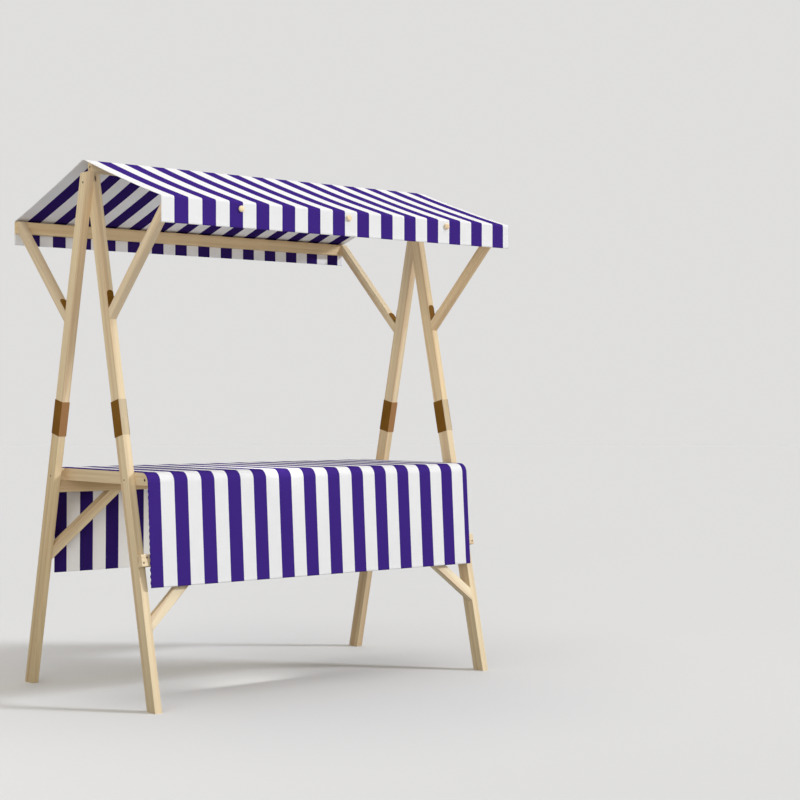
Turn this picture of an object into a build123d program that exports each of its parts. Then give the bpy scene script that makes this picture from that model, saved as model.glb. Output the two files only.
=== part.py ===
from build123d import *
from math import atan, cos, radians, sin, tan
import os

os.makedirs("parts", exist_ok=True)

# Wooden market stall, millimetres. Origin on the floor under the middle of the stall,
# X along the stall, the front towards -Y, Z up.

# overall
stall_length = 1670.0
stock_thickness = 30.0
half_length = stall_length / 2
eased_edge = 2.0

# A-frames: the front leg laps the inner side of the back leg
foot_centre = 451.75
leg_width = 58.0
leg_top_height = 1999.0
top_above_crossing = 38.0
lean_tan = foot_centre / (leg_top_height - top_above_crossing)
leg_lean = atan(lean_tan)
lean_sin = sin(leg_lean)
lean_cos = cos(leg_lean)
half_leg = leg_width / 2
foot_outer = foot_centre + half_leg / lean_cos
foot_inner = foot_centre - half_leg / lean_cos
back_leg_inner_x = half_length - stock_thickness
front_leg_inner_x = back_leg_inner_x - stock_thickness

# joint in each leg: a steel channel open to the outside
sleeve_height = 1063.5
sleeve_length = 136.0
sleeve_wall = 1.5
sleeve_centre = sleeve_height / lean_cos
sleeve_bottom = sleeve_centre - sleeve_length / 2

# roof
roof_pitch = radians(18.3)
eave_reach = 573.0
valance_drop = 92.0
cloth_thickness = 1.5
cloth_clearance = 0.3
ridge_beam_height = 42.0
eave_beam_height = 48.0
ridge_beam_top = leg_top_height + ridge_beam_height
cloth_rise = cloth_thickness / cos(roof_pitch) + cloth_clearance
ridge_height = ridge_beam_top + stock_thickness / 2 * tan(roof_pitch) + cloth_rise
eave_height = ridge_height - eave_reach * tan(roof_pitch)
eave_beam_outer = eave_reach - cloth_thickness - cloth_clearance
eave_beam_inner = eave_beam_outer - stock_thickness
eave_beam_top = eave_height - cloth_thickness - cloth_clearance

# eave braces, in the plane of their leg, at an angle from the level; the landing is
# how far down the inner face of the eave beam the brace's end reaches
eave_brace_angle = radians(43.83)
eave_brace_width = 36.0
eave_brace_landing = 46.5
brace_rise = tan(eave_brace_angle)
brace_low_line = eave_beam_top - eave_brace_landing - eave_beam_inner * brace_rise
brace_high_line = brace_low_line + eave_brace_width / cos(eave_brace_angle)
heel_up = (foot_outer * brace_rise + brace_low_line) / (1 + lean_tan * brace_rise)
heel_out = (heel_up - brace_low_line) / brace_rise
eave_beam_line = (eave_beam_top - brace_high_line) / brace_rise
corner_up = (foot_outer * brace_rise + brace_high_line) / (1 + lean_tan * brace_rise)
corner_out = (corner_up - brace_high_line) / brace_rise

# bent steel straps with round ends in the corner above each eave brace
strap_width = 27.0
strap_thickness = 2.0
strap_on_leg = 72.0
strap_on_brace = 71.0
strap_round = 13.0

# braces under the table, lying in the lean of their legs
table_brace_width = 40.0
front_brace_start = 290.0
front_brace_angle = radians(41.5)
front_brace_cut = table_brace_width / cos(front_brace_angle)
rear_brace_start = 501.5
rear_brace_angle = radians(44.5)
rear_brace_cut = table_brace_width / cos(rear_brace_angle)

# table frame
table_top = 864.0
table_rail_height = 47.0
table_bottom = table_top - table_rail_height
table_overhang = 94.5
table_front = foot_outer - table_top * lean_tan + table_overhang
rear_brace_out = foot_inner - rear_brace_start * lean_tan + stock_thickness / lean_cos
table_rear_clearance = 2.7
table_rear = rear_brace_out + table_rear_clearance
nose_radius = 38.0
side_rail_inner_x = front_leg_inner_x - stock_thickness
panel_thickness = 12.0
panel_front = nose_radius - table_front
panel_rear = table_rear - stock_thickness
spacer_setback = 8.0
spacer_length = 46.0
spacer_front = foot_centre - (table_top - table_rail_height / 2) * lean_tan - spacer_setback
low_rail_height = 47.0
low_rail_bottom = table_bottom - low_rail_height
low_rail_front = foot_inner - low_rail_bottom * lean_tan

# rail across the front legs
cross_rail_height = 44.0
cross_rail_bottom = 525.0
cross_rail_out = foot_outer + stock_thickness / lean_cos - cross_rail_bottom * lean_tan

# cloth over the table: at the front it hangs just clear of the cross rail
cloth_hem_height = 445.0
cloth_off_rail = 3.5
cloth_off_table = 2.5
cloth_top = table_top + cloth_clearance
cloth_front = table_front + cloth_clearance
cloth_rear = table_rear + cloth_clearance
cloth_nose = nose_radius + cloth_clearance
cloth_half_length = front_leg_inner_x - cloth_clearance
nose_low = cloth_top - cloth_nose
hang_slope = (cross_rail_out + cloth_off_rail - cloth_front) / (nose_low - cross_rail_bottom)
front_hem_out = cloth_front + hang_slope * (nose_low - cloth_hem_height)
rear_hem_out = cloth_rear + cloth_off_table

# knobs on the valances
knob_drop = 25.0
knob_height = eave_height - knob_drop
knob_spacing = 496.0
knob_radius = 12.0
knob_neck_radius = 9.0
knob_neck_length = 1.5
knob_length = 9.0
knob_round = 6.5

# working planes on the front left leg: across the leg inwards and along it upwards,
# and square across it at the foot of the sleeve
front_leg_side = Plane(
    origin=(-back_leg_inner_x, -foot_centre, 0),
    x_dir=(0, lean_cos, -lean_sin),
    z_dir=(1, 0, 0),
)
sleeve_base = Plane(
    origin=(
        -back_leg_inner_x,
        -foot_centre + sleeve_bottom * lean_sin,
        sleeve_bottom * lean_cos,
    ),
    x_dir=(1, 0, 0),
    z_dir=(0, lean_sin, lean_cos),
)
foot_step = half_leg * lean_tan
leg_top = leg_top_height / lean_cos
lap_shift = Location((-stock_thickness, 0, 0))

# front left leg
with BuildPart() as front_left_leg_lower:
    with BuildSketch(front_leg_side):
        with BuildLine():
            Polyline(
                (-half_leg, -foot_step),
                (half_leg, foot_step),
                (half_leg, sleeve_centre),
                (-half_leg, sleeve_centre),
                close=True,
            )
        make_face()
    extrude(amount=stock_thickness)
    fillet(front_left_leg_lower.edges().filter_by(lambda edge: edge.length > 2 * leg_width), radius=eased_edge)
front_left_leg_lower.part.label = "front_left_leg_lower"

with BuildPart() as front_left_leg_upper:
    with BuildSketch(front_leg_side):
        with BuildLine():
            Polyline(
                (-half_leg, sleeve_centre),
                (half_leg, sleeve_centre),
                (half_leg, leg_top + foot_step),
                (-half_leg, leg_top - foot_step),
                close=True,
            )
        make_face()
    extrude(amount=stock_thickness)
    fillet(front_left_leg_upper.edges().filter_by(lambda edge: edge.length > 2 * leg_width), radius=eased_edge)
front_left_leg_upper.part.label = "front_left_leg_upper"

with BuildPart() as front_left_leg_sleeve:
    with BuildSketch(sleeve_base):
        with Locations((stock_thickness / 2, sleeve_wall / 2)):
            Rectangle(stock_thickness + 2 * sleeve_wall, leg_width + sleeve_wall)
        with Locations((stock_thickness / 2, 0)):
            Rectangle(stock_thickness, leg_width, mode=Mode.SUBTRACT)
    extrude(amount=sleeve_length)
front_left_leg_sleeve.part.label = "front_left_leg_sleeve"

# back left leg, lapped on the outer side
with BuildPart() as back_left_leg_lower:
    mirror(front_left_leg_lower.part.moved(lap_shift), about=Plane.XZ)
back_left_leg_lower.part.label = "back_left_leg_lower"

with BuildPart() as back_left_leg_upper:
    mirror(front_left_leg_upper.part.moved(lap_shift), about=Plane.XZ)
back_left_leg_upper.part.label = "back_left_leg_upper"

with BuildPart() as back_left_leg_sleeve:
    mirror(front_left_leg_sleeve.part.moved(lap_shift), about=Plane.XZ)
back_left_leg_sleeve.part.label = "back_left_leg_sleeve"

# right-hand legs
with BuildPart() as front_right_leg_lower:
    mirror(front_left_leg_lower.part, about=Plane.YZ)
front_right_leg_lower.part.label = "front_right_leg_lower"

with BuildPart() as front_right_leg_upper:
    mirror(front_left_leg_upper.part, about=Plane.YZ)
front_right_leg_upper.part.label = "front_right_leg_upper"

with BuildPart() as front_right_leg_sleeve:
    mirror(front_left_leg_sleeve.part, about=Plane.YZ)
front_right_leg_sleeve.part.label = "front_right_leg_sleeve"

with BuildPart() as back_right_leg_lower:
    mirror(back_left_leg_lower.part, about=Plane.YZ)
back_right_leg_lower.part.label = "back_right_leg_lower"

with BuildPart() as back_right_leg_upper:
    mirror(back_left_leg_upper.part, about=Plane.YZ)
back_right_leg_upper.part.label = "back_right_leg_upper"

with BuildPart() as back_right_leg_sleeve:
    mirror(back_left_leg_sleeve.part, about=Plane.YZ)
back_right_leg_sleeve.part.label = "back_right_leg_sleeve"

# roof beams; the ridge beam and the front eave beam end flush with the front legs
with BuildPart() as ridge_beam:
    with BuildSketch(Plane.XY.offset(leg_top_height)):
        Rectangle(2 * back_leg_inner_x, stock_thickness)
    extrude(amount=ridge_beam_height)
    fillet(ridge_beam.edges().filter_by(Axis.X), radius=eased_edge)
ridge_beam.part.label = "ridge_beam"

with BuildPart() as front_eave_beam:
    with BuildSketch(Plane.XY.offset(eave_beam_top - eave_beam_height)):
        with Locations((0, -eave_beam_outer + stock_thickness / 2)):
            Rectangle(2 * back_leg_inner_x, stock_thickness)
    extrude(amount=eave_beam_height)
    fillet(front_eave_beam.edges().filter_by(Axis.X), radius=eased_edge)
front_eave_beam.part.label = "front_eave_beam"

with BuildPart() as rear_eave_beam:
    with BuildSketch(Plane.XY.offset(eave_beam_top - eave_beam_height)):
        with Locations((0, eave_beam_outer - stock_thickness / 2)):
            Rectangle(stall_length, stock_thickness)
    extrude(amount=eave_beam_height)
    fillet(rear_eave_beam.edges().filter_by(Axis.X), radius=eased_edge)
rear_eave_beam.part.label = "rear_eave_beam"

# eave braces
with BuildPart() as front_left_eave_brace:
    with BuildSketch(Plane.YZ.offset(-back_leg_inner_x)):
        with BuildLine():
            Polyline(
                (-heel_out, heel_up),
                (-corner_out, corner_up),
                (-eave_beam_line, eave_beam_top),
                (-eave_beam_inner, eave_beam_top),
                (-eave_beam_inner, eave_beam_top - eave_brace_landing),
                close=True,
            )
        make_face()
    extrude(amount=stock_thickness)
    fillet(front_left_eave_brace.edges().filter_by(lambda edge: edge.length > 3 * eave_brace_width), radius=eased_edge)
front_left_eave_brace.part.label = "front_left_eave_brace"

with BuildPart() as back_left_eave_brace:
    mirror(front_left_eave_brace.part.moved(lap_shift), about=Plane.XZ)
back_left_eave_brace.part.label = "back_left_eave_brace"

with BuildPart() as front_right_eave_brace:
    mirror(front_left_eave_brace.part, about=Plane.YZ)
front_right_eave_brace.part.label = "front_right_eave_brace"

with BuildPart() as back_right_eave_brace:
    mirror(back_left_eave_brace.part, about=Plane.YZ)
back_right_eave_brace.part.label = "back_right_eave_brace"

# corner straps, bent from flat steel
strap_edge = -back_leg_inner_x + (stock_thickness - strap_width) / 2
strap_leg_end = (-corner_out + strap_on_leg * lean_sin, corner_up + strap_on_leg * lean_cos)
strap_brace_end = (
    -corner_out - strap_on_brace * cos(eave_brace_angle),
    corner_up + strap_on_brace * sin(eave_brace_angle),
)
with BuildPart() as front_left_corner_strap:
    with BuildSketch(Plane.YZ.offset(strap_edge)):
        with BuildLine():
            Polyline(strap_leg_end, (-corner_out, corner_up), strap_brace_end)
            offset(amount=strap_thickness, side=Side.RIGHT, kind=Kind.INTERSECTION)
        make_face()
    extrude(amount=strap_width)
    fillet(front_left_corner_strap.edges().filter_by(lambda edge: edge.length < 1.5 * strap_thickness), radius=strap_round)
front_left_corner_strap.part.label = "front_left_corner_strap"

with BuildPart() as back_left_corner_strap:
    mirror(front_left_corner_strap.part.moved(lap_shift), about=Plane.XZ)
back_left_corner_strap.part.label = "back_left_corner_strap"

with BuildPart() as front_right_corner_strap:
    mirror(front_left_corner_strap.part, about=Plane.YZ)
front_right_corner_strap.part.label = "front_right_corner_strap"

with BuildPart() as back_right_corner_strap:
    mirror(back_left_corner_strap.part, about=Plane.YZ)
back_right_corner_strap.part.label = "back_right_corner_strap"

# table frame
with BuildPart() as left_side_rail:
    with BuildSketch(Plane.YZ.offset(-front_leg_inner_x)):
        with BuildLine():
            Polyline(
                (nose_radius - table_front, table_top),
                (table_rear, table_top),
                (table_rear, table_bottom),
                (-table_front, table_bottom),
                (-table_front, table_top - nose_radius),
            )
            RadiusArc(
                (-table_front, table_top - nose_radius),
                (nose_radius - table_front, table_top),
                nose_radius,
            )
        make_face()
    extrude(amount=stock_thickness)
left_side_rail.part.label = "left_side_rail"

with BuildPart() as right_side_rail:
    mirror(left_side_rail.part, about=Plane.YZ)
right_side_rail.part.label = "right_side_rail"

with BuildPart() as front_table_rail:
    with BuildSketch(Plane.YZ.offset(-side_rail_inner_x)):
        with BuildLine():
            Polyline(
                (panel_front, table_top),
                (panel_front, table_bottom),
                (-table_front, table_bottom),
                (-table_front, table_top - nose_radius),
            )
            RadiusArc(
                (-table_front, table_top - nose_radius),
                (panel_front, table_top),
                nose_radius,
            )
        make_face()
    extrude(amount=2 * side_rail_inner_x)
front_table_rail.part.label = "front_table_rail"

with BuildPart() as rear_table_rail:
    with BuildSketch(Plane.XY.offset(table_bottom)):
        with Locations((0, table_rear - stock_thickness / 2)):
            Rectangle(2 * side_rail_inner_x, stock_thickness)
    extrude(amount=table_rail_height)
    fillet(rear_table_rail.edges().filter_by(Axis.X), radius=eased_edge)
rear_table_rail.part.label = "rear_table_rail"

with BuildPart() as table_panel:
    with BuildSketch(Plane.XY.offset(table_top - panel_thickness)):
        with Locations((0, (panel_front + panel_rear) / 2)):
            Rectangle(2 * side_rail_inner_x, panel_rear - panel_front)
    extrude(amount=panel_thickness)
table_panel.part.label = "table_panel"

with BuildPart() as low_rear_rail:
    with BuildSketch(Plane.XY.offset(low_rail_bottom)):
        with Locations((0, low_rail_front + stock_thickness / 2)):
            Rectangle(2 * back_leg_inner_x, stock_thickness)
    extrude(amount=low_rail_height)
    fillet(low_rear_rail.edges().filter_by(Axis.X), radius=eased_edge)
low_rear_rail.part.label = "low_rear_rail"

# blocks between the side rails and the back legs
with BuildPart() as left_spacer_block:
    with BuildSketch(Plane.XY.offset(table_bottom)):
        with Locations((-back_leg_inner_x + stock_thickness / 2, spacer_front + spacer_length / 2)):
            Rectangle(stock_thickness, spacer_length)
    extrude(amount=table_rail_height)
left_spacer_block.part.label = "left_spacer_block"

with BuildPart() as right_spacer_block:
    mirror(left_spacer_block.part, about=Plane.YZ)
right_spacer_block.part.label = "right_spacer_block"

# table braces; the working planes lie on the outer faces of the front legs
# and the inner faces of the back legs, with up running along the leg
front_face = Plane(
    origin=(0, -foot_outer, 0),
    x_dir=(1, 0, 0),
    z_dir=(0, -lean_cos, lean_sin),
)
front_brace_low = front_brace_start / lean_cos
cross_rail_low = cross_rail_bottom / lean_cos - stock_thickness * lean_tan
cross_rail_high = cross_rail_low + cross_rail_height
front_brace_rise = cross_rail_high - front_brace_low
with BuildPart() as front_left_table_brace:
    with BuildSketch(front_face):
        with BuildLine():
            Polyline(
                (-front_leg_inner_x, front_brace_low),
                (-front_leg_inner_x, front_brace_low + front_brace_cut),
                (-front_leg_inner_x + (front_brace_rise - front_brace_cut) / tan(front_brace_angle), cross_rail_high),
                (-front_leg_inner_x + front_brace_rise / tan(front_brace_angle), cross_rail_high),
                close=True,
            )
        make_face()
    extrude(amount=-stock_thickness)
    fillet(front_left_table_brace.edges().filter_by(lambda edge: edge.length > 3 * table_brace_width), radius=eased_edge)
front_left_table_brace.part.label = "front_left_table_brace"

with BuildPart() as front_right_table_brace:
    mirror(front_left_table_brace.part, about=Plane.YZ)
front_right_table_brace.part.label = "front_right_table_brace"

rear_face = Plane(
    origin=(0, foot_inner, 0),
    x_dir=(1, 0, 0),
    z_dir=(0, -lean_cos, -lean_sin),
)
rear_brace_low = rear_brace_start / lean_cos
rear_brace_rise = low_rail_bottom / lean_cos - rear_brace_low
with BuildPart() as back_left_table_brace:
    with BuildSketch(rear_face):
        with BuildLine():
            Polyline(
                (-back_leg_inner_x, rear_brace_low),
                (-back_leg_inner_x, rear_brace_low + rear_brace_cut),
                (-back_leg_inner_x + (rear_brace_rise - rear_brace_cut) / tan(rear_brace_angle), rear_brace_low + rear_brace_rise),
                (-back_leg_inner_x + rear_brace_rise / tan(rear_brace_angle), rear_brace_low + rear_brace_rise),
                close=True,
            )
        make_face()
    extrude(amount=-stock_thickness)
    split(bisect_by=Plane.XY.offset(low_rail_bottom), keep=Keep.BOTTOM)
    fillet(back_left_table_brace.edges().filter_by(lambda edge: edge.length > 3 * table_brace_width), radius=eased_edge)
back_left_table_brace.part.label = "back_left_table_brace"

with BuildPart() as back_right_table_brace:
    mirror(back_left_table_brace.part, about=Plane.YZ)
back_right_table_brace.part.label = "back_right_table_brace"

# rail across the outer faces of the front legs
with BuildPart() as front_cross_rail:
    with BuildSketch(front_face):
        with Locations((0, (cross_rail_low + cross_rail_high) / 2)):
            Rectangle(2 * back_leg_inner_x, cross_rail_height)
    extrude(amount=stock_thickness)
    fillet(front_cross_rail.edges().filter_by(Axis.X), radius=eased_edge)
front_cross_rail.part.label = "front_cross_rail"

# canopy: one striped cloth over the three beams, hanging down at both eaves
with BuildPart() as canopy:
    with BuildSketch(Plane.YZ.offset(-half_length)):
        with BuildLine():
            Polyline(
                (-eave_reach, eave_height - valance_drop),
                (-eave_reach, eave_height),
                (0, ridge_height),
                (eave_reach, eave_height),
                (eave_reach, eave_height - valance_drop),
            )
            offset(amount=cloth_thickness, side=Side.RIGHT, kind=Kind.INTERSECTION)
        make_face()
    extrude(amount=stall_length)
canopy.part.label = "canopy"

# table cloth, between the legs
with BuildPart() as table_cloth:
    with BuildSketch(Plane.YZ.offset(-cloth_half_length)):
        with BuildLine():
            Line((-front_hem_out, cloth_hem_height), (-cloth_front, nose_low))
            RadiusArc((-cloth_front, nose_low), (cloth_nose - cloth_front, cloth_top), cloth_nose)
            Line((cloth_nose - cloth_front, cloth_top), (cloth_rear, cloth_top))
            Line((cloth_rear, cloth_top), (rear_hem_out, cloth_hem_height))
            offset(amount=cloth_thickness, side=Side.LEFT, kind=Kind.INTERSECTION)
        make_face()
    extrude(amount=2 * cloth_half_length)
table_cloth.part.label = "table_cloth"

# flat turned knobs on both valances
with BuildPart() as front_middle_knob:
    with BuildSketch(Plane.XZ.offset(eave_reach)):
        with Locations((0, knob_height)):
            Circle(knob_neck_radius)
    extrude(amount=knob_neck_length)
    with BuildSketch(Plane.XZ.offset(eave_reach + knob_neck_length)):
        with Locations((0, knob_height)):
            Circle(knob_radius)
    extrude(amount=knob_length - knob_neck_length)
    fillet(front_middle_knob.faces().sort_by(Axis.Y)[0].edges(), radius=knob_round)
front_middle_knob.part.label = "front_middle_knob"

with BuildPart() as front_left_knob:
    add(front_middle_knob.part.moved(Location((-knob_spacing, 0, 0))))
front_left_knob.part.label = "front_left_knob"

with BuildPart() as front_right_knob:
    add(front_middle_knob.part.moved(Location((knob_spacing, 0, 0))))
front_right_knob.part.label = "front_right_knob"

with BuildPart() as rear_middle_knob:
    mirror(front_middle_knob.part, about=Plane.XZ)
rear_middle_knob.part.label = "rear_middle_knob"

with BuildPart() as rear_left_knob:
    mirror(front_left_knob.part, about=Plane.XZ)
rear_left_knob.part.label = "rear_left_knob"

with BuildPart() as rear_right_knob:
    mirror(front_right_knob.part, about=Plane.XZ)
rear_right_knob.part.label = "rear_right_knob"

export_step(front_left_leg_lower.part, "parts/front_left_leg_lower.step")
export_step(front_left_leg_upper.part, "parts/front_left_leg_upper.step")
export_step(front_left_leg_sleeve.part, "parts/front_left_leg_sleeve.step")
export_step(back_left_leg_lower.part, "parts/back_left_leg_lower.step")
export_step(back_left_leg_upper.part, "parts/back_left_leg_upper.step")
export_step(back_left_leg_sleeve.part, "parts/back_left_leg_sleeve.step")
export_step(front_right_leg_lower.part, "parts/front_right_leg_lower.step")
export_step(front_right_leg_upper.part, "parts/front_right_leg_upper.step")
export_step(front_right_leg_sleeve.part, "parts/front_right_leg_sleeve.step")
export_step(back_right_leg_lower.part, "parts/back_right_leg_lower.step")
export_step(back_right_leg_upper.part, "parts/back_right_leg_upper.step")
export_step(back_right_leg_sleeve.part, "parts/back_right_leg_sleeve.step")
export_step(ridge_beam.part, "parts/ridge_beam.step")
export_step(front_eave_beam.part, "parts/front_eave_beam.step")
export_step(rear_eave_beam.part, "parts/rear_eave_beam.step")
export_step(front_left_eave_brace.part, "parts/front_left_eave_brace.step")
export_step(back_left_eave_brace.part, "parts/back_left_eave_brace.step")
export_step(front_right_eave_brace.part, "parts/front_right_eave_brace.step")
export_step(back_right_eave_brace.part, "parts/back_right_eave_brace.step")
export_step(front_left_corner_strap.part, "parts/front_left_corner_strap.step")
export_step(back_left_corner_strap.part, "parts/back_left_corner_strap.step")
export_step(front_right_corner_strap.part, "parts/front_right_corner_strap.step")
export_step(back_right_corner_strap.part, "parts/back_right_corner_strap.step")
export_step(left_side_rail.part, "parts/left_side_rail.step")
export_step(right_side_rail.part, "parts/right_side_rail.step")
export_step(front_table_rail.part, "parts/front_table_rail.step")
export_step(rear_table_rail.part, "parts/rear_table_rail.step")
export_step(table_panel.part, "parts/table_panel.step")
export_step(low_rear_rail.part, "parts/low_rear_rail.step")
export_step(left_spacer_block.part, "parts/left_spacer_block.step")
export_step(right_spacer_block.part, "parts/right_spacer_block.step")
export_step(front_left_table_brace.part, "parts/front_left_table_brace.step")
export_step(front_right_table_brace.part, "parts/front_right_table_brace.step")
export_step(back_left_table_brace.part, "parts/back_left_table_brace.step")
export_step(back_right_table_brace.part, "parts/back_right_table_brace.step")
export_step(front_cross_rail.part, "parts/front_cross_rail.step")
export_step(canopy.part, "parts/canopy.step")
export_step(table_cloth.part, "parts/table_cloth.step")
export_step(front_middle_knob.part, "parts/front_middle_knob.step")
export_step(front_left_knob.part, "parts/front_left_knob.step")
export_step(front_right_knob.part, "parts/front_right_knob.step")
export_step(rear_middle_knob.part, "parts/rear_middle_knob.step")
export_step(rear_left_knob.part, "parts/rear_left_knob.step")
export_step(rear_right_knob.part, "parts/rear_right_knob.step")
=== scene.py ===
import bpy, bmesh, math, random
from mathutils import Matrix, Vector, noise


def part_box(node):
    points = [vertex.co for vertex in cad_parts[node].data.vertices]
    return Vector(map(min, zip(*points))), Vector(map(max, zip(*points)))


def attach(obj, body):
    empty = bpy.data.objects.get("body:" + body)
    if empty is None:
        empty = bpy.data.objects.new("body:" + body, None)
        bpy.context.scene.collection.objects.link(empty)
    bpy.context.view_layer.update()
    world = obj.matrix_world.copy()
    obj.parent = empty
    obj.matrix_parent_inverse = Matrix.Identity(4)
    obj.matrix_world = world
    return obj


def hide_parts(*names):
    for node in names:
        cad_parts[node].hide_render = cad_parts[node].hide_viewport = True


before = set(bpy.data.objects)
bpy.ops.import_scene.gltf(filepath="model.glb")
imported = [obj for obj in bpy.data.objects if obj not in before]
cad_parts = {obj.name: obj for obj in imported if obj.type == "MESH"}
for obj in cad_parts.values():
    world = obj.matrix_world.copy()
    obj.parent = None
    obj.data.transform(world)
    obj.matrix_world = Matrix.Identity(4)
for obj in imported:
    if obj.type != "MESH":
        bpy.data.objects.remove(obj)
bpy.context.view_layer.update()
print("frame loaded:", len(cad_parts), "nodes")

# metres, x along the stall, the front towards -y
footCentre, crossing = 0.45175, 1.961      # middle of a foot, and the height where the legs cross
lean = math.atan(footCentre / crossing)
leanSin, leanCos, leanTan = math.sin(lean), math.cos(lean), math.tan(lean)
footOuter, footInner = 0.48151, 0.42199      # faces of a leg at the floor


# shader maths as plain expressions: a Wire is one socket
class Wire:
    def __init__(self, tree, socket=None):
        self.tree = tree
        self.socket = socket

    def make(self, kind, settings=None, sockets=None, out=0):
        node = self.tree.nodes.new(kind)
        for key, value in (settings or {}).items():
            if key == "stops":
                ends = node.color_ramp.elements
                for stop, (place, shade) in ((ends[0], value[0]), (ends[-1], value[-1])):
                    stop.position, stop.color = place, (shade, shade, shade, 1.0)
                for place, shade in value[1:-1]:
                    ends.new(place).color = (shade, shade, shade, 1.0)
            else:
                setattr(node, key, value)
        for key, value in (sockets or {}).items():
            if isinstance(value, Wire):
                self.tree.links.new(value.socket, node.inputs[key])
            else:
                node.inputs[key].default_value = value
        return Wire(self.tree, node.outputs[out]) if len(node.outputs) else None

    def other(self, name):      # another output of the same node
        return Wire(self.tree, self.socket.node.outputs[name])

    def colour(self, shade):
        made = self.make("ShaderNodeRGB")
        made.socket.default_value = (*shade, 1.0)
        return made

    def maths(self, operation, first, second=0.0):
        return self.make("ShaderNodeMath", {"operation": operation}, {0: first, 1: second})

    def __add__(self, other):
        return self.maths("ADD", self, other)

    def __sub__(self, other):
        return self.maths("SUBTRACT", self, other)

    def __rsub__(self, other):
        return self.maths("SUBTRACT", other, self)

    def __mul__(self, other):
        return self.maths("MULTIPLY", self, other)

    def __truediv__(self, other):
        return self.maths("DIVIDE", self, other)

    def __mod__(self, other):
        return self.maths("FLOORED_MODULO", self, other)

    __radd__ = __add__
    __rmul__ = __mul__

    def sine(self):
        return self.maths("SINE", self)

    def far(self):      # distance from nothing, for a signed value
        return self.maths("ABSOLUTE", self)

    def step(self, low, high):      # smooth step from 0 at low to 1 at high
        smooth = {"interpolation_type": "SMOOTHSTEP"}
        return self.make("ShaderNodeMapRange", smooth, {0: self, 1: low, 2: high})

    def place(self, shift=(0, 0, 0), turn=(0, 0, 0), scale=(1, 1, 1)):
        return self.make("ShaderNodeMapping", None, {0: self, 1: shift, 2: turn, 3: scale})

    def cloud(self, scale, detail=2.0, rough=0.5, stretch=(1, 1, 1)):
        placed = self.place(scale=stretch)
        sockets = {"Vector": placed, "Scale": scale, "Detail": detail, "Roughness": rough}
        return placed.make("ShaderNodeTexNoise", None, sockets)

    def dot(self, way):      # how far a place lies along a direction
        product = {"operation": "DOT_PRODUCT"}
        return self.make("ShaderNodeVectorMath", product, {0: self, 1: tuple(way)}, out=1)

    def length(self):
        return self.make("ShaderNodeVectorMath", {"operation": "LENGTH"}, {0: self}, out=1)

    def split(self):      # x, with y and z as its other outputs
        return self.make("ShaderNodeSeparateXYZ", None, {0: self})

    def blendTo(self, other, amount):      # from this colour to another one
        mix = {"data_type": "RGBA", "blend_type": "MIX"}
        return self.make("ShaderNodeMix", mix, {0: amount, 6: self, 7: other}, out=2)

    def ramp(self, stops):      # grey stops, read as a number
        greys = self.make("ShaderNodeValToRGB", {"stops": stops}, {0: self})
        return self.make("ShaderNodeRGBToBW", None, {0: greys})

    def scaled(self, level):      # a colour made lighter or darker
        return self.make("ShaderNodeVectorMath", {"operation": "SCALE"}, {0: self, 3: level})


def newMaterial(name):
    material = bpy.data.materials.new(name)
    material.use_nodes = True
    material.node_tree.nodes.clear()
    return material, Wire(material.node_tree)


def surface(w, colour, roughness, height=None, depth=0.001, **fixed):
    tree = w.tree
    shader = tree.nodes.new("ShaderNodeBsdfPrincipled")
    for key, value in fixed.items():
        shader.inputs[key.replace("_", " ")].default_value = value
    for key, value in (("Base Color", colour), ("Roughness", roughness)):
        if isinstance(value, Wire):
            tree.links.new(value.socket, shader.inputs[key])
        else:
            shader.inputs[key].default_value = value
    if height is not None:
        sockets = {"Strength": 1.0, "Distance": depth, "Height": height}
        bump = w.make("ShaderNodeBump", None, sockets)
        tree.links.new(bump.socket, shader.inputs["Normal"])
    output = tree.nodes.new("ShaderNodeOutputMaterial")
    tree.links.new(shader.outputs[0], output.inputs[0])


# timber: pine sawn along the grain, each piece out of its own place in the log
timber = {
    "early": (0.790, 0.647, 0.420),
    "late": (0.601, 0.424, 0.238),
    "heart": (0.601, 0.419, 0.250),      # browner bands of heartwood
    "heartShare": 0.65,
    "ringPitch": 0.0042,
    "ringProfile": [(0.0, 0.0), (0.42, 0.10), (0.80, 0.62), (0.93, 1.0), (1.0, 0.0)],
    "ringWander": {"slow": 0.016, "fine": 0.0022, "knot": 0.010},
    "ringDepth": (0.22, 0.45),      # least, and how much more in places
    "pithAway": (0.045, 0.085),      # how far the board was cut from the middle of the log
    "logLength": 4.0,
    "drift": 0.012,      # turn of the board against the grain, radians
    "knot": (0.316, 0.172, 0.073),
    "knotDepth": 0.75,
    "knotPlaces": 5.5,      # a metre, of which few hold a knot
    "knotChosen": (0.84, 0.88),
    "knotEdge": (0.035, 0.055),
    "knotReach": (0.02, 0.30),
    "level": 0.755,
    "streaks": 0.27,
    "fibres": 0.15,
    "broadTone": 0.12,
    "roughness": 0.58,
    "grainHeight": 0.00025,
    "shine": 0.06,
}
# along a leg: the wood is darker over the stretch that a sleeve holds
joint = {"up": 1.0635 / leanCos, "half": 0.068, "edge": 0.0005, "level": 0.76}
# one long dark knot near the top of the front left leg
longKnot = {
    "place": (-0.7955, -0.0264, 1.9752),
    "halfLength": 0.0140,
    "halfWidth": 0.0036,
    "edge": (0.75, 1.25),
    "colour": (0.085, 0.055, 0.035),
    "depth": 0.9,
}


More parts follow.
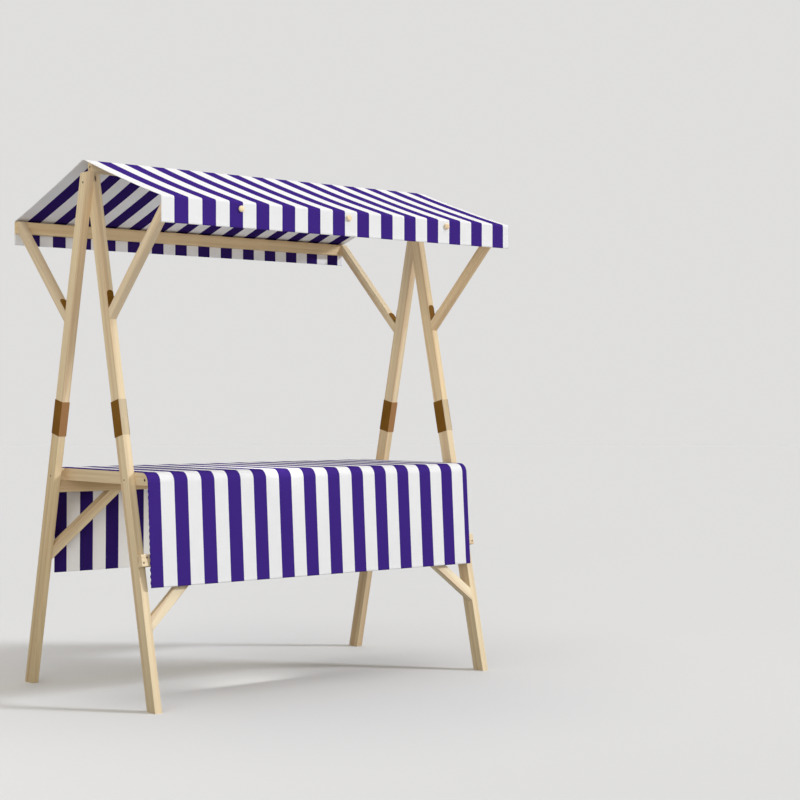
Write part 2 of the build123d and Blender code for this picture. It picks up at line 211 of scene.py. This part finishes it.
def cutFromLog(centre, upright, chance):      # a board's own place and turn in the log
    drift = timber["drift"]
    wander = Matrix.Rotation(chance.uniform(-1, 1) * drift, 3, "X")
    wander = wander @ Matrix.Rotation(chance.uniform(-1, 1) * drift, 3, "Y")
    turn = wander @ upright
    away = chance.uniform(*timber["pithAway"])
    angle = chance.uniform(0, 2 * math.pi)
    lengthways = chance.uniform(0, timber["logLength"])
    inLog = Vector((away * math.cos(angle), away * math.sin(angle), lengthways))
    return tuple(inLog - turn @ Vector(centre)), tuple(turn.to_euler())


def pine(name, centre, along, seed, tone, jointed=False, mark=None):
    material, w = newMaterial(name)
    upright = Vector(along).normalized().rotation_difference(Vector((0, 0, 1))).to_matrix()
    here = w.make("ShaderNodeTexCoord", out=3)
    at = here.place(*cutFromLog(centre, upright, random.Random(seed)))
    # knots stand in a few of the cells along the log
    stretched = at.place(scale=(1, 1, 0.9))
    sockets = {"Vector": stretched, "Scale": timber["knotPlaces"], "Randomness": 1.0}
    knots = stretched.make("ShaderNodeTexVoronoi", {"feature": "F1"}, sockets)
    drawn = w.make("ShaderNodeSeparateColor", None, {0: knots.other("Color")})
    chosen = drawn.step(*timber["knotChosen"])
    near = (1 - knots.step(*timber["knotReach"])) * chosen
    knot = (1 - knots.step(*timber["knotEdge"])) * chosen
    # rings round the pith, bent by slow growth and by the odd knot
    wander = timber["ringWander"]
    slow = at.cloud(7.0, 2.0, 0.5, (1, 1, 0.16))
    fine = at.cloud(60.0, 2.0, 0.5, (1, 1, 0.05))
    x = at.split()
    y = x.other("Y")
    radius = w.maths("SQRT", x * x + y * y)
    radius = radius + slow * wander["slow"] + fine * wander["fine"] + near * wander["knot"]
    grainLevel = ((radius / timber["ringPitch"]) % 1.0).ramp(timber["ringProfile"])
    # fibres, streaks and bands drawn out along the board
    fibre = at.cloud(900.0, 3.0, 0.6, (1, 1, 0.012))
    streak = at.cloud(85.0, 2.0, 0.5, (1, 1, 0.03))
    band = at.cloud(34.0, 2.0, 0.5, (1, 1, 0.018)).step(0.44, 0.66)
    broad = at.cloud(3.0, 1.0, 0.5, (1, 1, 0.4))
    least, more = timber["ringDepth"]
    ringDepth = least + more * at.cloud(20.0, 1.0, 0.5, (1, 1, 0.05))

    def toned(kind):
        return w.colour([value * share for value, share in zip(timber[kind], tone)])

    colour = toned("early").blendTo(toned("late"), grainLevel * ringDepth)
    colour = colour.blendTo(toned("heart"), band * timber["heartShare"])
    level = timber["level"] + streak * timber["streaks"]
    level = level + fibre * timber["fibres"] + broad * timber["broadTone"]
    colour = colour.scaled(level).blendTo(w.colour(timber["knot"]), knot * timber["knotDepth"])
    if jointed:
        reach = here.dot(along) + footCentre * leanSin
        low, high, edge = joint["up"] - joint["half"], joint["up"] + joint["half"], joint["edge"]
        inside = reach.step(low - edge, low + edge) * (1 - reach.step(high - edge, high + edge))
        colour = colour.scaled(1 - inside * (1 - joint["level"]))
    if mark:
        around = here.place(tuple(-(upright @ Vector(mark["place"]))), tuple(upright.to_euler()))
        around = around.place(scale=(1 / mark["halfWidth"], 0, 1 / mark["halfLength"])).length()
        around = around + at.cloud(300.0) * 0.3
        share = (1 - around.step(*mark["edge"])) * mark["depth"]
        colour = colour.blendTo(w.colour(mark["colour"]), share)
    roughness = timber["roughness"] + grainLevel * 0.08 + fibre * 0.08
    height = grainLevel * 0.25 + fibre * 0.8
    surface(w, colour, roughness, height, timber["grainHeight"], Specular_IOR_Level=timber["shine"])
    return material


grainAlong = {
    "leg": {"front": (0, leanSin, leanCos), "back": (0, -leanSin, leanCos)},
    "eave_brace": {"front": (0, -1, 0.96), "back": (0, 1, 0.96)},
    "table_brace": {"front": (1, leanSin, leanCos), "back": (1, -leanSin, leanCos)},
}


def nodeCentre(node):
    low, high = (Vector(v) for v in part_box(node))
    return (low + high) / 2


def grainOf(node):
    end = node.split("_")[0]
    if "_leg_" in node:
        return grainAlong["leg"][end]
    if "eave_brace" in node:
        return grainAlong["eave_brace"][end]
    if "table_brace" in node:
        x, y, z = grainAlong["table_brace"][end]
        return (x if "left" in node else -x, y, z)
    if "side_rail" in node or "spacer" in node:
        return (0, 1, 0)
    return (1, 0, 0)


# brown painted steel of the leg joints and the corner straps
steel = {
    "paint": (0.1685, 0.0719, 0.0049),
    "worn": (0.2655, 0.1247, 0.0194),
    "cutEdge": (0.59, 0.48, 0.33),
    # painted light: the lighter brown of the back sleeves' forward front plates, where light falls
    "rubbed": (0.34, 0.175, 0.070),
    "edge": (-0.0005, -0.0002),      # the change of colour starts this far before a plate's face
    "roughness": 0.6,
    "shine": 0.08,
}


def brownSteel(name, edge=None):
    material, w = newMaterial(name)
    at = w.make("ShaderNodeTexCoord", out=3)
    patches = at.cloud(9.0, 4.0, 0.55)
    drawn = at.cloud(240.0, 3.0, 0.6, (1, 1, 0.06))
    wear = patches.step(0.35, 0.75) * 0.45 + drawn * 0.18
    colour = w.colour(steel["paint"]).blendTo(w.colour(steel["worn"]), wear)
    if edge:      # beyond this far along a direction the paint turns to another colour: a pale cut edge on the front sleeves, painted light on the back sleeves' lit front plates
        way, far, rubbed = edge
        start, end = (far + value for value in steel["edge"])
        colour = colour.blendTo(w.colour(rubbed), at.dot(way).step(start, end))
    height = drawn * 0.4 + at.cloud(700.0, 1.0) * 0.4
    roughness = steel["roughness"] + patches * 0.12
    surface(w, colour, roughness, height, 0.0001, Specular_IOR_Level=steel["shine"])
    return material


# woven stripes, read from the cloth's own map in metres
canvas = {
    "white": (0.800, 0.786, 0.766),
    "purple": (0.0486, 0.0211, 0.1949),
    "thread": 0.0011,
    "stripeEdge": 0.006,      # of a stripe's width
    "hem": 0.014,      # depth of the hem, where the cloth is double
    "hemEdge": (0.0138, 0.0150),
    "stitchIn": 0.0125,
    "stitchWidth": (0.0003, 0.0007),
    "stitchLength": 0.0055,
    "stitchGap": (0.25, 0.35),
    "singleShare": 0.55,      # of the hem's thickness
    "reliefDepth": 0.0004,
    "roughness": 0.95,
}


def stripedCanvas(name, leftEdge, stripe, firstWhite, size, white, dark):
    # leftEdge is where the first stripe starts, size the flat sheet's half width and half length
    material, w = newMaterial(name)
    at = w.make("ShaderNodeUVMap", {"uv_map": "flat"})
    u = at.split()
    v = u.other("Y")
    across = ((u - leftEdge) / stripe) % 2.0
    edge = canvas["stripeEdge"]
    first = across.step(0.0, edge) * (1 - across.step(1.0, 1.0 + edge))
    purple = 1 - first if firstWhite else first
    colour = w.colour(white).blendTo(w.colour(dark), purple)
    # plain weave: threads go over and under in turn
    a, b = u * (math.pi / canvas["thread"]), v * (math.pi / canvas["thread"])
    weave = (a.sine() * b.sine()).far()
    slubU = at.cloud(1.0, 2.0, 0.6, (14, 900, 1))
    slubV = at.cloud(1.0, 2.0, 0.6, (900, 14, 1))
    faded = at.cloud(5.0, 3.0, 0.55)
    level = 0.86 + weave * 0.06 + slubU * 0.09 + slubV * 0.09 + faded * 0.05
    colour = colour.scaled(level)
    # hems turned under all round, with one row of stitches
    inU, inV = size[0] - u.far(), size[1] - v.far()
    inside = w.maths("MINIMUM", inU, inV)
    seam = 1 - (inside - canvas["stitchIn"]).far().step(*canvas["stitchWidth"])
    dash = (((u + v) / canvas["stitchLength"]) % 1.0).step(*canvas["stitchGap"])
    fold = 1 - inside.step(*canvas["hemEdge"])
    thread = seam * dash
    # the stitches 12% lighter; the sunken seam line between them 8% darker as painted shade
    colour = colour.scaled(1 + thread * 0.12 - (seam - thread) * 0.08)
    height = weave * 0.35 + slubU * 0.5 + slubV * 0.5 + fold * 0.5 - seam * 0.4 + thread * 0.4
    surface(w, colour, canvas["roughness"], height, canvas["reliefDepth"], Specular_IOR_Level=0.0)
    return material


def stations(parts):      # places along a sheet: (start, end, how many) for each stretch
    places = [parts[0][0]]
    for start, end, count in parts:
        places += [start + (end - start) * (i + 1) / count for i in range(count)]
    return places


def acrossPlaces(half, columns):      # places over a sheet's width, closer in its side hems
    hem = canvas["hem"]
    return stations([(-half, -half + hem, 3), (-half + hem, half - hem, columns), (half - hem, half, 3)])


def cloth(name, across, down, middle, shape, materials, thickness):
    # a flat grid with its map in metres from the sheet's middle, then bent to shape
    mesh = bmesh.new()
    uv = mesh.loops.layers.uv.new("flat")
    columns, rows = len(across) - 1, len(down) - 1
    bmesh.ops.create_grid(mesh, x_segments=columns, y_segments=rows, size=0.5)
    flat = {}
    for vert in mesh.verts:
        u = across[round((vert.co.x + 0.5) * columns)]
        v = down[round((vert.co.y + 0.5) * rows)]
        flat[vert] = (u, v)
    for face in mesh.faces:
        face.smooth = True
        for loop in face.loops:
            u, v = flat[loop.vert]
            loop[uv].uv = (u, v - middle)
    weights = []
    for vert in mesh.verts:
        u, v = flat[vert]
        rim = min(u - across[0], across[-1] - u, v - down[0], down[-1] - v)
        weights.append(1.0 if rim < canvas["hem"] else canvas["singleShare"])
        vert.co = shape(u, v)
    bmesh.ops.recalc_face_normals(mesh, faces=mesh.faces)
    data = bpy.data.meshes.new(name)
    mesh.to_mesh(data)
    mesh.free()
    piece = bpy.data.objects.new(name, data)
    bpy.context.collection.objects.link(piece)
    for material in materials:      # right side, wrong side
        data.materials.append(material)
    group = piece.vertex_groups.new(name="hem")
    for index, weight in enumerate(weights):
        group.add([index], weight, "REPLACE")
    shell = piece.modifiers.new("thickness", "SOLIDIFY")
    shell.thickness = thickness
    shell.offset = 0
    shell.material_offset = 1
    shell.vertex_group = "hem"
    return piece


def bend(parts, start, heading, stepLength=0.001):
    # a path that goes and turns: (length, turn in radians) for each stretch, in small steps
    points, place, angle, gone = [(0.0, Vector(start))], Vector(start), heading, 0.0
    for length, turn in parts:
        steps = max(4, int(length / stepLength))
        for i in range(steps):
            way = angle + turn * (i + 0.5) / steps
            place = place + Vector((math.cos(way), math.sin(way))) * (length / steps)
            gone += length / steps
            points.append((gone, place.copy()))
        angle += turn
    return points


def along(points, distance):      # the place this far down a bent path
    low, high = 0, len(points) - 1
    while high - low > 1:
        middle = (low + high) // 2
        if points[middle][0] <= distance:
            low = middle
        else:
            high = middle
    (a, p), (b, q) = points[low], points[high]
    return p + (q - p) * ((distance - a) / (b - a))


def rounded(point):
    return [round(value, 4) for value in point]


# canopy: one cloth over the ridge and the eave beams
canopy = {
    "halfWidth": 0.835,
    "ridge": 2.0458,
    "pitch": math.radians(18.3),
    "slope": 0.6022,
    "overRidge": 0.017,      # where the cloth rests on the ridge beam
    "overEave": 0.007,
    "eaveRound": 1.6,      # length of the turn down, against overEave
    "drop": 0.0900,
    "sag": 0.0045,
    "waves": 0.0016,      # how far the hanging edges wander
    "unevenness": 0.0011,      # of the roof between the beams
    "thickness": 0.0012,
    "stripe": 0.05876,
    "firstStripe": 0.921,      # of a stripe's width, at the left edge
    # wrong side, seen from under the roof: the purple darkened as painted shade, the white a little
    # cooler than the right side as painted light against the warm light there
    "underWhitePaintedLight": (0.800, 0.795, 0.790),
    "underPurplePaintedShade": (0.0290, 0.0130, 0.1150),
}
sagTurn = 4 * canopy["sag"] / canopy["slope"]
halfProfile = bend(
    [
        (canopy["overRidge"], -canopy["pitch"] - sagTurn),
        (canopy["slope"] - canopy["overRidge"] - canopy["overEave"], 2 * sagTurn),
        (canopy["overEave"] * canopy["eaveRound"], -math.pi / 2 + canopy["pitch"] - sagTurn),
        (canopy["drop"], 0.0),
    ],
    (0.0, canopy["ridge"]),
    0.0,
)
halfLength = halfProfile[-1][0]
eaveAt = halfLength - canopy["drop"]
print("canopy eave", rounded(along(halfProfile, eaveAt)), "hem", rounded(halfProfile[-1][1]))


def canopyShape(u, v):
    out, up = along(halfProfile, min(abs(v), halfLength))
    hang = max(0.0, (abs(v) - eaveAt) / canopy["drop"])      # 0 at the eave, 1 at the hem
    side = 1 if v > 0 else -1
    ripple = noise.noise(Vector((u * 5.0, side * 3.0, 0.0)))
    ripple += 0.4 * noise.noise(Vector((u * 14.0, side * 7.0, 2.0)))
    out += canopy["waves"] * hang * ripple
    roof = max(0.0, 1.0 - hang * 5) * min(1.0, abs(v) / 0.08)
    up += canopy["unevenness"] * roof * noise.noise(Vector((u * 6.0, v * 5.0, 5.0)))
    return Vector((u, side * out, up))


hem = canvas["hem"]
canopyHalf = canopy["halfWidth"]
halfPlaces = stations(
    [
        (0, 0.03, 8),
        (0.03, eaveAt - 0.016, 22),
        (eaveAt - 0.016, eaveAt + 0.004, 14),
        (eaveAt + 0.004, halfLength - hem, 9),
        (halfLength - hem, halfLength, 3),
    ]
)
canopyDown = [-p for p in reversed(halfPlaces)] + halfPlaces[1:]
canopyStripes = (
    -canopyHalf - (1 - canopy["firstStripe"]) * canopy["stripe"],
    canopy["stripe"],
    True,
    (canopyHalf, halfLength),
)
canopyCanvas = [
    stripedCanvas("canopy_canvas", *canopyStripes, canvas["white"], canvas["purple"]),
    stripedCanvas("canopy_canvas_under_painted_shade", *canopyStripes, canopy["underWhitePaintedLight"], canopy["underPurplePaintedShade"]),
]
canopyPiece = cloth(
    "canopy_cloth",
    acrossPlaces(canopyHalf, 130),
    canopyDown,
    0.0,
    canopyShape,
    canopyCanvas,
    canopy["thickness"],
)
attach(canopyPiece, "root")
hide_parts("canopy")
2 * halfLength
print("canopy made")

# table cloth: down at the front over the cross rail, and down at the rear
tableCloth = {
    "halfWidth": 0.7747,
    "top": 0.8648,
    "front": 0.3779,      # outer face of the nose
    "rear": 0.3409,
    "nose": 0.0388,
    "rearRound": 0.003,
    "hem": 0.445,
    "hangLean": math.radians(3.32),
    "rearTurn": 0.012,
    "waves": 0.0030,
    "unevenness": 0.00015,      # of the cloth on the table
    "thickness": 0.0012,
    "stripe": 0.05889,
    "firstStripe": 0.903,
    # wrong side, seen under the table: the white lighter than the right side as painted light, the
    # purple darker as painted shade
    "underWhitePaintedLight": (0.930, 0.922, 0.918),
    "underPurplePaintedShade": (0.0300, 0.0130, 0.1300),
    "edgeWave": {"far": 0.0018, "long": 0.024, "wide": 0.02},      # ripples of the left edge
}
t = tableCloth
hangSin, hangCos = math.sin(t["hangLean"]), math.cos(t["hangLean"])
frontHang = (t["top"] - t["hem"] - t["nose"] * (1 - hangSin)) / hangCos
noseArc = t["nose"] * (math.pi / 2 - t["hangLean"])
topRun = t["front"] - t["nose"] + t["rear"] - t["rearRound"]
rearArc = t["rearRound"] * math.pi / 2
rearHang = t["top"] - t["rearRound"] - t["hem"]
clothPath = bend(
    [
        (frontHang, 0.0),
        (noseArc, -math.pi / 2 + t["hangLean"]),
        (topRun, 0.0),
        (rearArc, -math.pi / 2),
        (rearHang, t["rearTurn"]),
    ],
    (t["nose"] - t["front"] - t["nose"] * hangCos - frontHang * hangSin, t["hem"]),
    math.pi / 2 - t["hangLean"],
)
clothLength = clothPath[-1][0]
rearEdge = frontHang + noseArc + topRun + rearArc
print("table cloth", round(clothLength, 4), "long, front hem", rounded(clothPath[0][1]))
print("table cloth rear hem", rounded(clothPath[-1][1]))


def hangFolds(u, row):      # soft folds across a hanging side
    broad = noise.noise(Vector((u * 4.0, row, 1.0)))
    return t["waves"] * (broad + 0.5 * noise.noise(Vector((u * 11.0, row, 4.0))) + 0.6)


def tableClothShape(u, v):
    y, z = along(clothPath, v)
    frontPart = max(0.0, 1.0 - v / frontHang)      # 1 at the front hem, 0 at the nose
    rearPart = max(0.0, (v - rearEdge) / rearHang)
    y -= frontPart ** 1.2 * hangFolds(u, 0.0)
    y += rearPart ** 1.2 * hangFolds(u, 9.0)
    if frontHang + noseArc < v < rearEdge - rearArc:
        z += t["unevenness"] * (0.5 + 0.5 * noise.noise(Vector((u * 7.0, v * 7.0, 3.0))))
    if frontPart > 0.02:
        wave = t["edgeWave"]
        ripple = math.sin(2 * math.pi * v / wave["long"])
        ripple *= 0.5 + noise.noise(Vector((v * 9.0, 4.0, 8.0)))
        u += wave["far"] * ripple * max(0.0, 1.0 - (u + clothHalf) / wave["wide"])
    return Vector((u, y, z))


clothHalf = t["halfWidth"]
clothDown = stations(
    [
        (0, hem, 3),
        (hem, frontHang, 110),
        (frontHang, frontHang + noseArc, 12),
        (frontHang + noseArc, rearEdge - rearArc, 40),
        (rearEdge - rearArc, rearEdge, 4),
        (rearEdge, clothLength - hem, 30),
        (clothLength - hem, clothLength, 3),
    ]
)
clothStripes = (
    -clothHalf - (1 - t["firstStripe"]) * t["stripe"],
    t["stripe"],
    False,
    (clothHalf, clothLength / 2),
)
clothCanvas = [
    stripedCanvas("table_canvas", *clothStripes, canvas["white"], canvas["purple"]),
    stripedCanvas("table_canvas_under_painted_light_and_shade", *clothStripes, t["underWhitePaintedLight"], t["underPurplePaintedShade"]),
]
clothPiece = cloth(
    "table_cloth_striped",
    acrossPlaces(clothHalf, 130),
    clothDown,
    clothLength / 2,
    tableClothShape,
    clothCanvas,
    t["thickness"],
)
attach(clothPiece, "root")
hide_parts("table_cloth")
print("table cloth made")


# small turned and forged pieces
def finishPiece(mesh, name, material, smoothAngle):
    bmesh.ops.recalc_face_normals(mesh, faces=mesh.faces)
    data = bpy.data.meshes.new(name)
    mesh.to_mesh(data)
    mesh.free()
    for face in data.polygons:
        face.use_smooth = True
    data.set_sharp_from_angle(angle=math.radians(smoothAngle))
    piece = bpy.data.objects.new(name, data)
    bpy.context.collection.objects.link(piece)
    data.materials.append(material)
    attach(piece, "root")
    return piece


def addTo(mesh, part, place, facing):      # turns a part made up z to face a direction, in its place
    turn = Vector((0, 0, 1)).rotation_difference(Vector(facing)).to_matrix()
    bmesh.ops.transform(part, matrix=Matrix.Translation(place) @ turn.to_4x4(), verts=part.verts)
    data = bpy.data.meshes.new("part")
    part.to_mesh(data)
    part.free()
    mesh.from_mesh(data)
    bpy.data.meshes.remove(data)


def turned(profile, steps):      # profile of (radius, height) spun about z
    part = bmesh.new()
    ring = [part.verts.new((r, 0, h)) for r, h in profile]
    edges = [part.edges.new(pair) for pair in zip(ring, ring[1:])]
    bmesh.ops.spin(
        part,
        geom=ring + edges,
        cent=(0, 0, 0),
        axis=(0, 0, 1),
        angle=2 * math.pi,
        steps=steps,
        use_merge=True,
    )
    bmesh.ops.remove_doubles(part, verts=part.verts, dist=1e-6)
    return part


knob = {
    "radius": 0.012,
    "neck": 0.009,
    "neckLength": 0.0015,
    "edgeHeight": 0.0020,
    "fullness": 0.6,      # below 1 the dome keeps a fuller edge
    "length": 0.009,
    "spacing": 0.496,
    "up": 1.8334,
    "out": 0.5730,
    "tone": (1.10, 1.10, 1.10),
}


def knobProfile():
    # a flat button with a full edge, low domed in front
    r, n, neck = knob["radius"], knob["neck"], knob["neckLength"]
    edge = neck + knob["edgeHeight"]
    profile = [(n, 0.0), (n, neck * 0.8), (r * 0.93, neck), (r * 0.985, neck + 0.0008)]
    for i in range(13):
        angle = math.radians(90 * i / 12)
        out = r * math.cos(angle) ** knob["fullness"]
        profile.append((out, edge + (knob["length"] - edge) * math.sin(angle)))
    profile[-1] = (0.0, knob["length"])
    return profile


knobWood = pine("knob_wood", (0, 0, 1.835), (0, 1, 0), 91, knob["tone"])
mesh = bmesh.new()
for x in (-knob["spacing"], 0.0, knob["spacing"]):
    for side in (-1, 1):
        place = (x, side * knob["out"], knob["up"])
        addTo(mesh, turned(knobProfile(), 28), place, (0, side, 0))
knobs = finishPiece(mesh, "valance_knobs", knobWood, 60)
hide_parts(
    "front_left_knob",
    "front_middle_knob",
    "front_right_knob",
    "rear_left_knob",
    "rear_middle_knob",
    "rear_right_knob",
)
print("knobs made")

screws = {
    "small": 0.0033,      # radius of the pan heads
    "middle": 0.0041,
    "large": 0.0053,
    "colour": (0.030, 0.024, 0.020),
    "rubbed": (0.12, 0.10, 0.085),
    "roughness": 0.42,
    # x, y, z on the right-hand frame, facing out (1) or in (-1), and the head
    "frameBolts": [
        (0.835, 0.0, crossing, 1, "middle"),      # where the legs cross
        (0.775, 0.0, crossing, -1, "middle"),
        (0.805, -0.259, 0.835, 1, "small"),      # side rail to the front leg
        (0.745, -0.259, 0.835, -1, "small"),
        (0.835, 0.260, 0.835, 1, "small"),      # side rail to the back leg
        (0.745, 0.260, 0.835, -1, "small"),
    ],
    "endScrews": [
        (0.775, -0.3566, 0.8374, 1, "large"),      # side rail into the front and the rear rail
        (0.775, 0.325, 0.8374, 1, "small"),
        (0.805, 0.0, 2.022, 1, "middle"),      # end of the ridge beam
    ],
    "crossRail": [(0.782, 0.556), (0.797, 0.538)],      # x, z on the rail's front face
    "railThickness": 0.030,
}


def darkSteel():
    material, w = newMaterial("dark_screws")
    at = w.make("ShaderNodeTexCoord", out=3)
    patches = at.cloud(300.0, 3.0)
    rubbed = patches.step(0.5, 0.8) * 0.5
    colour = w.colour(screws["colour"]).blendTo(w.colour(screws["rubbed"]), rubbed)
    surface(w, colour, screws["roughness"] + patches * 0.15, patches, 0.0001, Metallic=0.7)
    return material


def screwHead(mesh, place, facing, size):
    # a low pan head just proud of the wood, dished in the middle where the driver goes
    r = screws[size]
    rim = [(r, -0.0004), (r, r * 0.10), (r * 0.88, r * 0.22)]
    dish = [(r * 0.58, r * 0.27), (r * 0.40, r * 0.25), (r * 0.30, r * 0.02), (0.0, -0.0001)]
    addTo(mesh, turned(rim + dish, 24), place, facing)


screwSteel = darkSteel()
mesh = bmesh.new()
for side in (-1, 1):
    for x, y, z, way, size in screws["frameBolts"]:
        screwHead(mesh, (side * x, y, z), (side * way, 0, 0), size)
finishPiece(mesh, "frame_bolts", screwSteel, 30)
mesh = bmesh.new()
for side in (-1, 1):
    for x, y, z, way, size in screws["endScrews"]:
        screwHead(mesh, (side * x, y, z), (side * way, 0, 0), size)
    for x, z in screws["crossRail"]:
        y = z * leanTan - footOuter - screws["railThickness"] / leanCos
        screwHead(mesh, (side * x, y, z), (0, -leanCos, leanSin), "small")
finishPiece(mesh, "frame_screws", screwSteel, 30)
print("bolts and screws made")

# the carried-over solids get their own boards of pine, or paint
# colour factors board by board: part each board's own tone, part painted light and shade; the low rear
# rail is darkened as painted shade, the two table braces are lightened as painted light
boardTonesAndPaintedShading = {
    "rear_eave_beam": (0.93, 0.87, 0.78),
    "front_right_eave_brace": (0.91, 0.84, 0.78),
    "back_left_eave_brace": (0.88, 0.88, 0.92),
    "front_left_eave_brace": (0.94, 0.93, 0.97),
    "back_left_leg_lower": (0.95, 0.92, 0.86),
    "back_right_leg_lower": (0.88, 0.84, 0.80),
    "front_right_leg_upper": (1.0, 0.96, 0.90),
    # table braces: lighter as painted light
    "front_left_table_brace": (1.0, 1.03, 1.09),
    "front_right_table_brace": (1.07, 1.13, 1.22),
    # low rear rail: darker as painted shade
    "low_rear_rail": (0.84, 0.80, 0.76),
    "table_panel": (0.94, 0.94, 0.94),
}
toneSpread = 0.05      # how far boards differ from each other
paintedLightPlateFace = 0.0015 - footInner * leanCos      # front plate of a back sleeve, beyond which the brown is painted lighter as painted light
sleeveEdge = footOuter * leanCos      # open edges of a front sleeve
paint = {
    "front": brownSteel("brown_steel_front", ((0, -leanCos, leanSin), sleeveEdge, steel["cutEdge"])),
    # the back sleeves' front plates face forward into the light; their lighter brown is painted light
    "back": brownSteel("brown_steel_back", ((0, -leanCos, -leanSin), paintedLightPlateFace, steel["rubbed"])),
    "strap": brownSteel("brown_steel_strap"),
}
for number, (node, piece) in enumerate(sorted(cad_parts.items())):
    slot = piece.material_slots[0]
    tone = boardTonesAndPaintedShading.get(node, (1, 1, 1))
    if "strap" in node:
        slot.material = paint["strap"]
    elif "sleeve" in node:
        slot.material = paint[node.split("_")[0]]
    elif node == "table_panel":
        slot.material = pine("panel_veneer", nodeCentre(node), (1, 0, 0), 77, tone)
    elif "cloth" not in node and "canopy" not in node and "knob" not in node:
        own = 1.0 + toneSpread * math.sin(number * 2.4)
        slot.material = pine(
            "pine_" + node,
            nodeCentre(node),
            grainOf(node),
            100 + number,
            [own * share for share in tone],
            "_leg_" in node,
            longKnot if "front_left_leg" in node else None,
        )
print("timber dressed")

# floor, light and camera
ground = {
    "radius": 40,
    "corners": 96,
    "seen": (0.665, 0.662, 0.648),      # as the camera sees it
    "bounceWithPaintedShadow": (0.28, 0.60),      # as the stall is lit by it, near its feet and far off: darker near the feet as a painted shadow of the stall
    "bounceReach": (1.2, 3.2),
}
sky = {"level": 0.199, "tint": (1.0, 0.978, 0.938), "horizon": 1.003}
# lights from far off: towards each, its colour, and how wide it is in degrees
suns = {
    "sun": {"power": 2.33, "to": (0.563, -0.59, 0.441), "tint": (0.868, 0.908, 1.0), "softness": 9.0},
    "fill": {"power": 0.31, "to": (-0.30, -0.93, 0.18), "tint": (1.0, 1.0, 0.99), "softness": 50.0},
    "corner": {"power": 0.544, "to": (-0.70, -0.68, 0.20), "tint": (1.0, 1.0, 0.934), "softness": 24.0},
    "top": {"power": 1.60, "to": (0.0, 0.0, 1.0), "tint": (1.0, 0.974, 0.962), "softness": 70.0},
    "back": {"power": 0.4, "to": (0.30, 0.90, 0.32), "tint": (1.0, 0.98, 0.94), "softness": 60.0},
}
# square lamps in watts: beside the upper left end, under the table, and inside over the table
lamps = {
    "window": {
        "power": 8.0,
        "tint": (1.0, 1.0, 0.96),
        "at": (-2.7, -0.9, 2.1),
        "to": (-0.8, 0.0, 1.75),
        "size": 1.3,
    },
    "low": {
        "power": 1.9,
        "tint": (1.0, 1.0, 0.99),
        "at": (-0.15, -0.28, 0.22),
        "to": (-0.15, 0.34, 0.60),
        "size": 0.4,
    },
    "inner": {
        "power": 2.56,
        "tint": (1.0, 0.996, 0.963),
        "at": (-0.35, -0.30, 1.15),
        "to": (0.80, 0.20, 1.40),
        "size": 0.5,
    },
}


def seenDirectly(w):      # 1 for the camera and what shows in gloss or glass, 0 for light
    path = w.make("ShaderNodeLightPath")
    seen = w.maths("MAXIMUM", path, path.other("Is Glossy Ray"))
    return w.maths("MAXIMUM", seen, path.other("Is Transmission Ray"))


mesh = bmesh.new()
bmesh.ops.create_circle(mesh, cap_ends=True, radius=ground["radius"], segments=ground["corners"])
data = bpy.data.meshes.new("floor")
mesh.to_mesh(data)
mesh.free()
floor = bpy.data.objects.new("floor", data)
bpy.context.collection.objects.link(floor)
floorMaterial, w = newMaterial("pale_floor")
near, far = ground["bounceWithPaintedShadow"]
reach = w.make("ShaderNodeTexCoord", out=3).length().step(*ground["bounceReach"])
# painted shadow: for bounced light the floor is darker near the stall's feet
bounceWithPaintedShadow = w.colour((near,) * 3).blendTo(w.colour((far,) * 3), reach)
floorColour = bounceWithPaintedShadow.blendTo(w.colour(ground["seen"]), seenDirectly(w))
surface(w, floorColour, 0.9, Specular_IOR_Level=0.0)
data.materials.append(floorMaterial)

for name, kind in suns.items():
    sun = bpy.data.lights.new(name, "SUN")
    sun.energy = kind["power"]
    sun.angle = math.radians(kind["softness"])
    sun.color = kind["tint"]
    sunObject = bpy.data.objects.new(name, sun)
    sunObject.rotation_euler = Vector(kind["to"]).to_track_quat("Z", "Y").to_euler()
    bpy.context.collection.objects.link(sunObject)

for name, kind in lamps.items():
    lamp = bpy.data.lights.new(name, "AREA")
    lamp.energy = kind["power"]
    lamp.size = kind["size"]
    lamp.color = kind["tint"]
    lampObject = bpy.data.objects.new(name, lamp)
    lampObject.location = kind["at"]
    back = Vector(kind["at"]) - Vector(kind["to"])
    lampObject.rotation_euler = back.to_track_quat("Z", "Y").to_euler()
    lampObject.visible_camera = False
    bpy.context.collection.objects.link(lampObject)

# behind the stall the sky is as bright as the far floor
reached = Vector(sky["tint"]) * sky["level"]
for kind in suns.values():
    height = Vector(kind["to"]).normalized().z
    reached += Vector(kind["tint"]) * (height * kind["power"] / math.pi)
farFloor = [colour * light * sky["horizon"] for colour, light in zip(ground["seen"], reached)]
world = bpy.data.worlds.new("studio")
world.use_nodes = True
world.node_tree.nodes.clear()
w = Wire(world.node_tree)
behind = w.make("ShaderNodeBackground", None, {0: (*farFloor, 1), 1: 1.0})
around = w.make("ShaderNodeBackground", None, {0: (*sky["tint"], 1), 1: sky["level"]})
both = w.make("ShaderNodeMixShader", None, {0: seenDirectly(w), 1: around, 2: behind})
w.make("ShaderNodeOutputWorld", None, {0: both})
bpy.context.scene.world = world

view = {
    "place": (-3.98979, -5.81032, 1.12),
    "heading": -39.0228,
    "lens": 76.836,
    "sensor": 36,
    "shift": 0.00397,
    "reach": 200,
}
camera = bpy.data.cameras.new("camera")
camera.sensor_width = view["sensor"]
camera.lens = view["lens"]
camera.shift_y = view["shift"]
camera.clip_end = view["reach"]
cameraObject = bpy.data.objects.new("camera", camera)
cameraObject.location = view["place"]
cameraObject.rotation_euler = (math.radians(90), 0, math.radians(view["heading"]))
bpy.context.collection.objects.link(cameraObject)
bpy.context.scene.camera = cameraObject
bpy.context.scene.view_settings.view_transform = "Standard"
print("floor, light and camera set")
